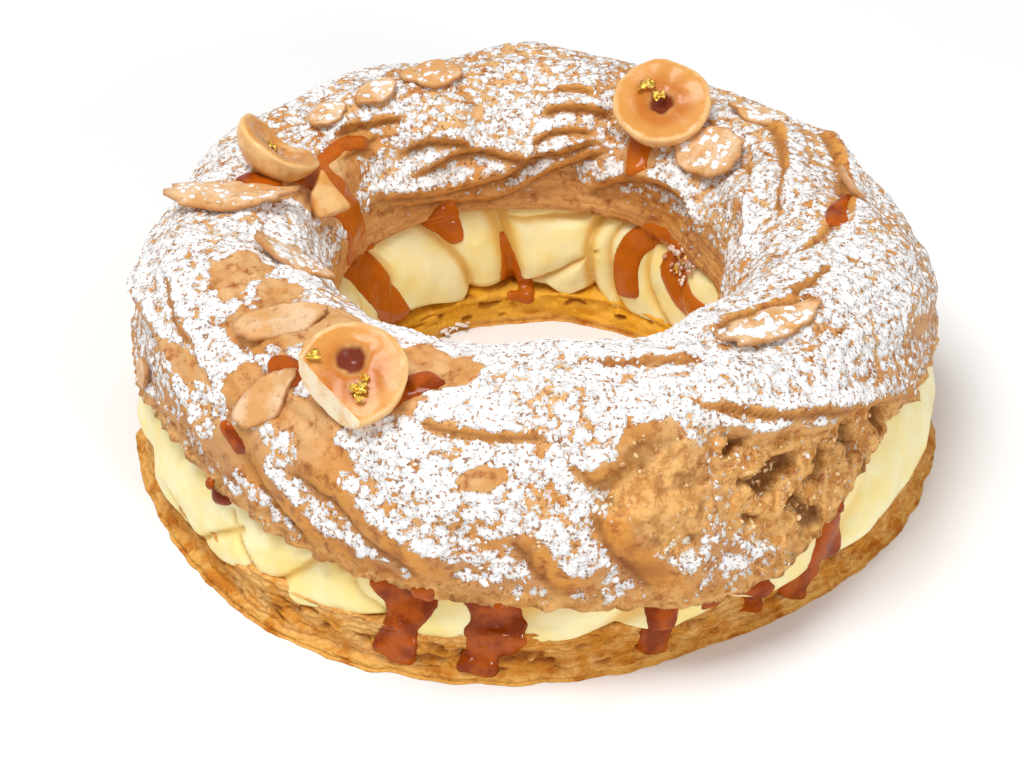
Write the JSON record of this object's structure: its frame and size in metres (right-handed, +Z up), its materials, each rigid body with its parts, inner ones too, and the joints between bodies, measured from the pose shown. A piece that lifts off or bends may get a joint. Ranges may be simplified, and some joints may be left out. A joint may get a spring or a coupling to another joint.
{
  "type": "paris brest pastry",
  "caption": "Ring of split choux pastry with piped custard cream in the middle, halved hazelnuts, flaked almonds and caramel on a sugared top",
  "frame": {"origin": "middle of the whole outline, at the flat underside of the lower choux ring", "axes": "+Z up through the hole, +X to the right and +Y away from the front, which has the near hazelnut at its left"},
  "size_m": [0.1348, 0.135, 0.0518],
  "materials": {
    "baked_base": "golden baked choux crumb with a thin browned sole",
    "custard_cream": "smooth pale yellow piped cream with a soft sheen",
    "baked_crust": "matt golden-brown crust under icing sugar",
    "hazelnut": "roasted kernel, lightly glossed with caramel"
  },
  "bodies": {
    "root": {"choux_base": "baked_base", "cream": "custard_cream", "choux_lid": "baked_crust", "hazelnut_far": "hazelnut", "hazelnut_left": "hazelnut", "hazelnut_near": "hazelnut", "hazelnut_chip": "hazelnut"}
  },
  "joints": []
}
